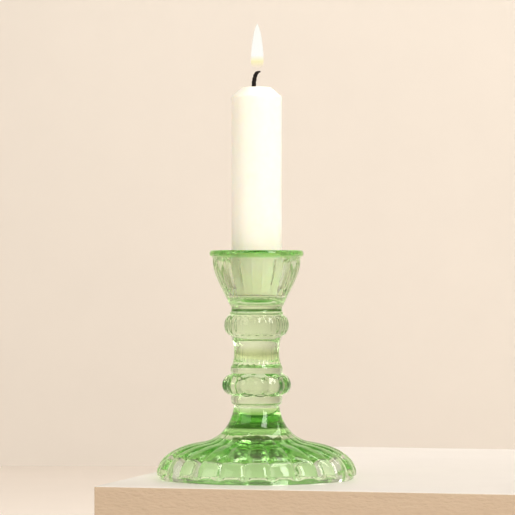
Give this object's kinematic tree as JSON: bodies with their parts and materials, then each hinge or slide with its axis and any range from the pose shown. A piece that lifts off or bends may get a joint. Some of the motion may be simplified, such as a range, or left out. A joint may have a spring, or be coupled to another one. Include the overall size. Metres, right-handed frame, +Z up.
{
  "type": "glass candlestick with candle",
  "caption": "Ribbed pressed-glass candlestick with a fluted cup, two knops and a wide hollow foot, holding a short dinner candle with wick and flame.",
  "frame": {"origin": "middle of the underside of the foot, on the surface it stands on", "axes": "+Z up the stem towards the candle, +X to the right seen from the front, -Y towards the viewer"},
  "size_m": [0.0876, 0.0876, 0.2],
  "materials": {
    "green_glass": "clear light green pressed glass, glossy, deeper green where it is thick",
    "candle_wax": "ivory white wax with a soft satin sheen",
    "charred_wick": "braided cotton, charred black above the wax",
    "flame_glow": "glowing candle flame, white at the core and amber at the foot"
  },
  "bodies": {
    "holder": {"glass_candlestick": "green_glass"},
    "lit_candle": {"candle": "candle_wax", "wick": "charred_wick", "flame": "flame_glow"}
  },
  "joints": [
    {"name": "candle_lift", "type": "slide", "parent": "holder", "child": "lit_candle", "axis": [0, 0, 1], "range_m": [0, 0.03]}
  ]
}
